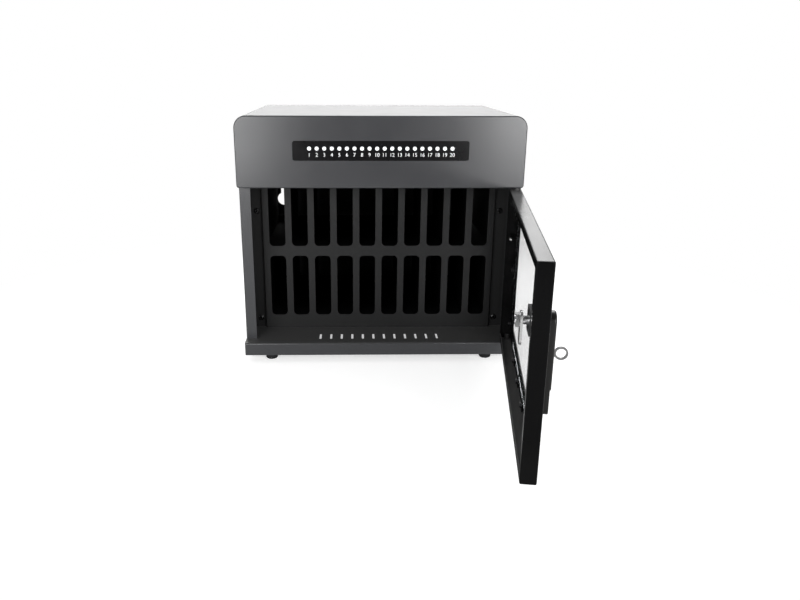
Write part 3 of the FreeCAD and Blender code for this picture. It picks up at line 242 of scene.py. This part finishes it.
def board_finish(name, colour):
    """Solder mask with a faint grid of copper below it."""
    material, tree, shader = new_finish(name)
    tracks = object_pattern(tree, "ShaderNodeTexBrick", 90.0)
    tracks.inputs["Color1"].default_value = (*colour, 1)
    tracks.inputs["Color2"].default_value = (*shade(colour, 1.25), 1)
    tracks.inputs["Mortar"].default_value = (*shade(colour, 0.6), 1)
    tree.links.new(tracks.outputs["Color"], shader.inputs["Base Color"])
    varied_roughness(tree, shader, 0.3, 0.4, 50.0)
    return material


def milky_lens(name):
    material, tree, shader = new_finish(name)
    varied_colour(tree, shader, (0.88, 0.9, 0.92), 0.03, 400.0)
    varied_roughness(tree, shader, 0.25, 0.35, 400.0)
    # The faint white glow is painted light that brightens the lens.
    shader.inputs["Emission Color"].default_value = (0.95, 0.97, 1.0, 1)
    shader.inputs["Emission Strength"].default_value = 0.06
    return material


def clear_sheet(name):
    """Acrylic sheet: nearly see-through, more of a mirror where it is seen edge-on."""
    material, tree, shader = new_finish(name)
    varied_colour(tree, shader, (0.56, 0.58, 0.6), 0.03, 12.0)
    varied_roughness(tree, shader, 0.03, 0.08, 30.0)
    shader.inputs["Metallic"].default_value = 1.0
    slant = tree.nodes.new("ShaderNodeFresnel")
    slant.inputs["IOR"].default_value = PANE_IOR
    share = tree.nodes.new("ShaderNodeMapRange")
    share.inputs["To Min"].default_value, share.inputs["To Max"].default_value = PANE_MIRROR
    tree.links.new(slant.outputs["Fac"], share.inputs["Value"])
    tree.links.new(share.outputs["Result"], shader.inputs["Alpha"])
    return material


def facing_up(tree):
    """Mask: one on faces that look up, zero on upright ones."""
    face = tree.nodes.new("ShaderNodeNewGeometry")
    axes = tree.nodes.new("ShaderNodeSeparateXYZ")
    tree.links.new(face.outputs["Normal"], axes.inputs["Vector"])
    mask = tree.nodes.new("ShaderNodeMapRange")
    mask.inputs["From Min"].default_value, mask.inputs["From Max"].default_value = TOP_LIGHT_TILT
    tree.links.new(axes.outputs["Z"], mask.inputs["Value"])
    return mask.outputs["Result"]


def low_down(tree, full, none):
    """Mask: one below the first height, zero above the second."""
    place = tree.nodes.new("ShaderNodeTexCoord")
    axes = tree.nodes.new("ShaderNodeSeparateXYZ")
    tree.links.new(place.outputs["Object"], axes.inputs["Vector"])
    mask = tree.nodes.new("ShaderNodeMapRange")
    mask.inputs["From Min"].default_value = none
    mask.inputs["From Max"].default_value = full
    tree.links.new(axes.outputs["Z"], mask.inputs["Value"])
    return mask.outputs["Result"]


def dull(tree, mask, extra):
    """Add to a finish's roughness where a mask is one."""
    rough = tree.nodes["Principled BSDF"].inputs["Roughness"]
    even = rough.links[0].from_socket
    total = tree.nodes.new("ShaderNodeMath")
    total.operation = "MULTIPLY_ADD"
    total.inputs[1].default_value = extra
    tree.links.new(mask, total.inputs[0])
    tree.links.new(even, total.inputs[2])
    tree.links.new(total.outputs["Value"], rough)


def painted_top_light(tree, mask, grey):
    """Turn a finish's colour to a paler grey where a mask is one: painted light on faces that look up."""
    colour = tree.nodes["Principled BSDF"].inputs["Base Color"]
    unlit_colour = colour.links[0].from_socket
    mix = tree.nodes.new("ShaderNodeMixRGB")
    mix.inputs["Color2"].default_value = (grey, grey, grey, 1)
    tree.links.new(mask, mix.inputs["Fac"])
    tree.links.new(unlit_colour, mix.inputs["Color1"])
    tree.links.new(mix.outputs["Color"], colour)


def dress(material, *names):
    """Give CAD nodes a finish."""
    for name in names:
        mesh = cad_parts[name].data
        mesh.materials.clear()
        mesh.materials.append(material)


def add_piece(name, mesh_builder, material, body):
    """New mesh object at the origin that rides a body."""
    mesh = bpy.data.meshes.new(name)
    mesh_builder.to_mesh(mesh)
    mesh_builder.free()
    mesh.materials.append(material)
    piece = bpy.data.objects.new(name, mesh)
    bpy.context.scene.collection.objects.link(piece)
    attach(piece, body)
    return piece


class CABINET_OT_case(bpy.types.Operator):
    """Paint the case and the head"""

    bl_idname = "cabinet.case"
    bl_label = "Case"

    def execute(self, context):
        finish = context.scene.cabinet_finish
        paint = powder_paint("case_paint", finish.case_paint, 0.22, 0.55)
        upward = facing_up(paint.node_tree)
        dull(paint.node_tree, upward, 0.28)
        # Faces that look up turn a paler grey: painted light on the top of the case and its ledge.
        painted_top_light(paint.node_tree, upward, 0.042)
        dress(paint, "base_tray", "left_side", "right_side", "head_cover", "head_back")
        dress(powder_paint("back_paint", finish.case_paint, 0.5, 0.2), "back_panel")
        dress(rubber_finish("foot_rubber", (0.012, 0.012, 0.013)), "feet")
        return {"FINISHED"}


class CABINET_OT_rack(bpy.types.Operator):
    """Paint the slot plate, shelves and dividers"""

    bl_idname = "cabinet.rack"
    bl_label = "Rack"

    def execute(self, context):
        finish = context.scene.cabinet_finish
        dress(powder_paint("rack_paint", finish.rack_paint, 0.5, 0.2), "slot_plate", "left_rail", "right_rail")
        # The shelves, dividers and cheeks are darker than the rack: painted shade inside the slots.
        dress(
            powder_paint("compartment_painted_shade", finish.compartment_painted_shade, 0.8, 0.02),
            "lower_shelf",
            "upper_shelf",
            "lower_dividers",
            "upper_dividers",
            "left_cheek",
            "right_cheek",
        )
        return {"FINISHED"}


class CABINET_OT_door(bpy.types.Operator):
    """Paint the door and clear its window"""

    bl_idname = "cabinet.door"
    bl_label = "Door"

    def execute(self, context):
        finish = context.scene.cabinet_finish
        paint = powder_paint("door_paint", finish.door_paint, 0.24, 0.06)
        dull(paint.node_tree, low_down(paint.node_tree, *DOOR_DULL), 0.3)
        # Faces that look up turn a paler grey: painted light on the door's top and its lower ledge.
        painted_top_light(paint.node_tree, facing_up(paint.node_tree), 0.07)
        dress(paint, "door_pan")
        dress(powder_paint("clip_paint", finish.door_paint, 0.3, 0.06), "window_clips", "earth_stud")
        dress(clear_sheet("window_clear"), "window_pane")
        dress(moulded_plastic("bush_nylon", (0.012, 0.012, 0.012), 0.4), "upper_hinge_bush", "lower_hinge_bush")
        return {"FINISHED"}


class CABINET_OT_fasteners(bpy.types.Operator):
    """Plate the screws, pins, studs and nuts, and set dark crosses flush in the screw heads as painted shade of
    their recesses
    """

    bl_idname = "cabinet.fasteners"
    bl_label = "Fasteners"

    def execute(self, context):
        dress(plated_metal("screw_black", (0.09, 0.09, 0.092), 0.25), "ear_screws")
        steel = plated_metal("fastener_steel", (0.3, 0.3, 0.3), 0.35)
        dress(steel, "back_screws", "upper_hinge_pin", "lower_hinge_pin")
        dress(plated_metal("stud_black", (0.04, 0.04, 0.042), 0.4), "window_studs", "window_nuts")
        dress(plated_metal("nut_nickel", (0.8, 0.8, 0.79), 0.2), "earth_nut")
        sizes = context.scene.cabinet_sizes
        builder = bmesh.new()
        for name, outward in (("ear_screws", -1), ("back_screws", 1)):
            for points in separate_solids(name):
                add_cross(builder, points, outward, sizes.cross_length, sizes.cross_width)
        # Near-black crosses flush with the heads: painted shade of cross recesses.
        shadow = moulded_plastic("recess_dark", (0.004, 0.004, 0.004), 0.8, 0.1)
        add_piece("screw_recess_shade", builder, shadow, "cabinet")
        return {"FINISHED"}


def separate_solids(name):
    """Points of each solid in a CAD node."""
    builder = bmesh.new()
    builder.from_mesh(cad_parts[name].data)
    bmesh.ops.remove_doubles(builder, verts=builder.verts, dist=0.000001)
    waiting = set(builder.verts)
    solids = []
    while waiting:
        front = [waiting.pop()]
        points = []
        while front:
            vert = front.pop()
            points.append(vert.co.copy())
            for edge in vert.link_edges:
                near = edge.other_vert(vert)
                if near in waiting:
                    waiting.remove(near)
                    front.append(near)
        solids.append(points)
    builder.free()
    return solids


def add_cross(builder, points, outward, length, width):
    """Dark cross at the top of a screw head that faces along Y, flush with the head: painted shade of a cross
    recess.
    """
    middle_x = (min(p.x for p in points) + max(p.x for p in points)) / 2
    middle_z = (min(p.z for p in points) + max(p.z for p in points)) / 2
    top_y = max(outward * p.y for p in points) * outward
    place = Matrix.Translation((middle_x, top_y - outward * width / 2, middle_z))
    for span in ((length, width, width), (width, width, length)):
        bmesh.ops.create_cube(builder, size=1.0, matrix=place @ Matrix.Diagonal((*span, 1.0)))


class CABINET_OT_lock(bpy.types.Operator):
    """Finish the grip bar, lock and key"""

    bl_idname = "cabinet.lock"
    bl_label = "Lock"

    def execute(self, context):
        dress(powder_paint("grip_metal", (0.0035, 0.0034, 0.003), 0.3, 0.25), "grip_bar")
        dress(moulded_plastic("lock_plastic", (0.012, 0.012, 0.013), 0.45), "lock_housing")
        dress(plated_metal("lock_chrome", (0.6, 0.6, 0.61), 0.2), "turn_knob", "lock_plug")
        dress(plated_metal("key_steel", (0.16, 0.16, 0.16), 0.35), "key")
        dress(plated_metal("cam_steel", (0.5, 0.5, 0.5), 0.28), "lock_cam", "cam_nut")
        return {"FINISHED"}


class CABINET_OT_electrics(bpy.types.Operator):
    """Finish the sockets, boards, supply, fan, inlet and switch"""

    bl_idname = "cabinet.electrics"
    bl_label = "Electrics"

    def execute(self, context):
        black = moulded_plastic("black_plastic", (0.02, 0.02, 0.022), 0.5)
        dress(black, "socket_panel", "inlet_socket", "switch_body", "fan_frame", "fan_rotor")
        dress(moulded_plastic("rocker_plastic", (0.02, 0.02, 0.02), 0.25), "switch_rocker")
        dress(plated_metal("socket_steel", (0.62, 0.63, 0.65), 0.28), "charging_sockets")
        dress(plated_metal("supply_metal", (0.6, 0.61, 0.62), 0.4), "power_supply")
        dress(plated_metal("contact_brass", (0.7, 0.52, 0.22), 0.3), "inlet_contacts")
        dress(board_finish("board_green", (0.03, 0.16, 0.07)), "light_board", "charger_board")
        return {"FINISHED"}


class CABINET_OT_status_strip(bpy.types.Operator):
    """Finish the status strip and its lights, and number the lights"""

    bl_idname = "cabinet.status_strip"
    bl_label = "Status strip"

    def execute(self, context):
        finish = context.scene.cabinet_finish
        sizes = context.scene.cabinet_sizes
        dress(moulded_plastic("strip_black", finish.strip_black, 0.18, 0.15), "status_strip")
        dress(milky_lens("light_lens"), "status_lights")
        low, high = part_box("status_lights")
        strip_low, strip_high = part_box("status_strip")
        radius = (high.z - low.z) / 2
        pitch = (high.x - low.x - 2 * radius) / (sizes.light_count - 1)
        line_z = (low.z + high.z) / 2 - sizes.numeral_drop
        builder = bmesh.new()
        for index in range(sizes.light_count):
            middle = low.x + radius + index * pitch
            place = Matrix.Translation((middle, strip_low.y - NUMERAL_LIFT, line_z))
            add_numeral(builder, str(index + 1), sizes.numeral_height, place)
        paint = moulded_plastic("numeral_white", finish.numeral_white, 0.6)
        add_piece("strip_numerals", builder, paint, "cabinet")
        return {"FINISHED"}


def add_numeral(builder, words, height, place):
    """Upright numeral that faces the front, centred on a point."""
    curve = bpy.data.curves.new("numeral", "FONT")
    curve.body = words
    curve.size = height / NUMERAL_SHARE
    curve.align_x = "CENTER"
    curve.align_y = "CENTER"
    curve.extrude = NUMERAL_DEPTH
    curve.offset = -height * NUMERAL_THINNING
    curve.resolution_u = 3
    writing = bpy.data.objects.new("numeral", curve)
    mesh = bpy.data.meshes.new_from_object(writing)
    mesh.transform(place @ Matrix.Rotation(math.pi / 2, 4, "X"))
    builder.from_mesh(mesh)
    bpy.data.objects.remove(writing)
    bpy.data.curves.remove(curve)
    bpy.data.meshes.remove(mesh)


class CABINET_OT_stage(bpy.types.Operator):
    """Set the floor, the lamps and the camera"""

    bl_idname = "cabinet.stage"
    bl_label = "Stage"

    def execute(self, context):
        scene = context.scene
        scene.view_settings.view_transform = "Standard"
        add_floor()
        for lamp in LAMPS:
            add_lamp(*lamp)
        set_world(scene)
        scene.camera = add_camera()
        return {"FINISHED"}


def add_floor():
    builder = bmesh.new()
    bmesh.ops.create_grid(builder, x_segments=1, y_segments=1, size=FLOOR_REACH)
    mesh = bpy.data.meshes.new("studio_floor")
    builder.to_mesh(mesh)
    builder.free()
    mesh.materials.append(floor_finish())
    floor = bpy.data.objects.new("studio_floor", mesh)
    bpy.context.scene.collection.objects.link(floor)


def floor_finish():
    """White floor: a shadow near the object, plain white further out and as a background."""
    material, tree, shader = new_finish("floor_white")
    varied_colour(tree, shader, (FLOOR_GREY,) * 3, 0.01, 2.0)
    varied_roughness(tree, shader, 0.85, 0.95, 3.0)
    glow = tree.nodes.new("ShaderNodeEmission")
    glow.inputs["Strength"].default_value = FLOOR_LIFT
    lifted = tree.nodes.new("ShaderNodeAddShader")
    tree.links.new(shader.outputs["BSDF"], lifted.inputs[0])
    tree.links.new(glow.outputs["Emission"], lifted.inputs[1])
    white = tree.nodes.new("ShaderNodeEmission")
    place = tree.nodes.new("ShaderNodeTexCoord")
    reach = tree.nodes.new("ShaderNodeVectorMath")
    reach.operation = "LENGTH"
    tree.links.new(place.outputs["Object"], reach.inputs[0])
    fade = tree.nodes.new("ShaderNodeMapRange")
    fade.interpolation_type = "SMOOTHSTEP"
    fade.inputs["From Min"].default_value, fade.inputs["From Max"].default_value = FLOOR_FADE
    tree.links.new(reach.outputs["Value"], fade.inputs["Value"])
    seen = tree.nodes.new("ShaderNodeMixShader")
    tree.links.new(fade.outputs["Result"], seen.inputs["Fac"])
    tree.links.new(lifted.outputs["Shader"], seen.inputs[1])
    tree.links.new(white.outputs["Emission"], seen.inputs[2])
    path = tree.nodes.new("ShaderNodeLightPath")
    mix = tree.nodes.new("ShaderNodeMixShader")
    tree.links.new(either_ray(tree, path, "Is Camera Ray", "Is Transmission Ray"), mix.inputs["Fac"])
    tree.links.new(shader.outputs["BSDF"], mix.inputs[1])
    tree.links.new(seen.outputs["Shader"], mix.inputs[2])
    tree.links.new(mix.outputs["Shader"], tree.nodes["Material Output"].inputs["Surface"])
    return material


def either_ray(tree, path, *kinds):
    """One where a ray is of any of the kinds."""
    seen = path.outputs[kinds[0]]
    for kind in kinds[1:]:
        either = tree.nodes.new("ShaderNodeMath")
        either.operation = "MAXIMUM"
        tree.links.new(seen, either.inputs[0])
        tree.links.new(path.outputs[kind], either.inputs[1])
        seen = either.outputs["Value"]
    return seen


def add_lamp(name, place, target, size, power):
    lamp = bpy.data.lights.new(name, "AREA")
    lamp.energy = power
    lamp.size = size
    holder = bpy.data.objects.new(name, lamp)
    holder.location = place
    holder.rotation_euler = (Vector(target) - Vector(place)).to_track_quat("-Z", "Y").to_euler()
    bpy.context.scene.collection.objects.link(holder)


def set_world(scene):
    """White to the camera and through the pane, a room to gloss, and soft ambient light to the rest."""
    world = bpy.data.worlds.new("studio")
    world.use_nodes = True
    tree = world.node_tree
    ambient = tree.nodes["Background"]
    ambient.inputs["Color"].default_value = (1, 1, 1, 1)
    ambient.inputs["Strength"].default_value = AMBIENT
    white = tree.nodes.new("ShaderNodeBackground")
    white.inputs["Color"].default_value = (1, 1, 1, 1)
    white.inputs["Strength"].default_value = 1.0
    path = tree.nodes.new("ShaderNodeLightPath")
    mirrored = tree.nodes.new("ShaderNodeMixShader")
    tree.links.new(path.outputs["Is Glossy Ray"], mirrored.inputs["Fac"])
    tree.links.new(ambient.outputs["Background"], mirrored.inputs[1])
    tree.links.new(room_sheen(tree), mirrored.inputs[2])
    mix = tree.nodes.new("ShaderNodeMixShader")
    tree.links.new(either_ray(tree, path, "Is Camera Ray", "Is Transmission Ray"), mix.inputs["Fac"])
    tree.links.new(mirrored.outputs["Shader"], mix.inputs[1])
    tree.links.new(white.outputs["Background"], mix.inputs[2])
    tree.links.new(mix.outputs["Shader"], tree.nodes["World Output"].inputs["Surface"])
    scene.world = world


def room_sheen(tree):
    """What gloss mirrors: the dim room in front, the white backdrop behind."""
    sheen = tree.nodes.new("ShaderNodeBackground")
    place = tree.nodes.new("ShaderNodeTexCoord")
    axes = tree.nodes.new("ShaderNodeSeparateXYZ")
    tree.links.new(place.outputs["Generated"], axes.inputs["Vector"])
    depth = tree.nodes.new("ShaderNodeMapRange")
    depth.inputs["From Min"].default_value, depth.inputs["From Max"].default_value = ROOM_TURN
    depth.inputs["To Min"].default_value = ROOM_FRONT
    depth.inputs["To Max"].default_value = ROOM_BEHIND
    tree.links.new(axes.outputs["Y"], depth.inputs["Value"])
    tree.links.new(depth.outputs["Result"], sheen.inputs["Strength"])
    return sheen.outputs["Background"]


def add_camera():
    """Camera at the photograph's place, with its focal length and centre in pixels."""
    data = bpy.data.cameras.new("photo_camera")
    data.sensor_fit = "HORIZONTAL"
    data.sensor_width = SENSOR_WIDTH_MM
    data.lens = FOCAL_PX * SENSOR_WIDTH_MM / IMAGE_WIDTH
    data.shift_x = (IMAGE_WIDTH / 2 - CENTRE_PX[0]) / IMAGE_WIDTH
    data.shift_y = (CENTRE_PX[1] - IMAGE_HEIGHT / 2) / IMAGE_WIDTH
    data.clip_end = VIEW_DISTANCE
    camera = bpy.data.objects.new("photo_camera", data)
    turn = (
        Matrix.Rotation(-CAMERA_YAW, 4, "Z")
        @ Matrix.Rotation(math.pi / 2 - CAMERA_PITCH, 4, "X")
        @ Matrix.Rotation(CAMERA_ROLL, 4, "Z")
    )
    camera.matrix_world = Matrix.Translation(CAMERA_PLACE) @ turn
    bpy.context.scene.collection.objects.link(camera)
    return camera


class CABINET_PT_pieces(bpy.types.Panel):
    """Buttons for the cabinet's pieces"""

    bl_idname = "CABINET_PT_pieces"
    bl_label = "Charging cabinet"
    bl_space_type = "VIEW_3D"
    bl_region_type = "UI"
    bl_category = "Cabinet"

    def draw(self, context):
        layout = self.layout
        for holder in (context.scene.cabinet_finish, context.scene.cabinet_sizes):
            for name in holder.__annotations__:
                layout.prop(holder, name)
        for operator in OPERATORS:
            layout.operator(operator.bl_idname)


OPERATORS = (
    CABINET_OT_case,
    CABINET_OT_rack,
    CABINET_OT_door,
    CABINET_OT_fasteners,
    CABINET_OT_lock,
    CABINET_OT_electrics,
    CABINET_OT_status_strip,
    CABINET_OT_stage,
)
CLASSES = (CabinetFinish, CabinetSizes) + OPERATORS + (CABINET_PT_pieces,)


def register():
    for item in CLASSES:
        bpy.utils.register_class(item)
    bpy.types.Scene.cabinet_finish = PointerProperty(type=CabinetFinish)
    bpy.types.Scene.cabinet_sizes = PointerProperty(type=CabinetSizes)


def unregister():
    del bpy.types.Scene.cabinet_sizes
    del bpy.types.Scene.cabinet_finish
    for item in reversed(CLASSES):
        bpy.utils.unregister_class(item)


def main():
    register()
    bpy.ops.cabinet.case()
    bpy.ops.cabinet.rack()
    bpy.ops.cabinet.door()
    bpy.ops.cabinet.fasteners()
    bpy.ops.cabinet.lock()
    bpy.ops.cabinet.electrics()
    bpy.ops.cabinet.status_strip()
    bpy.ops.cabinet.stage()


if __name__ == "__main__":
    main()
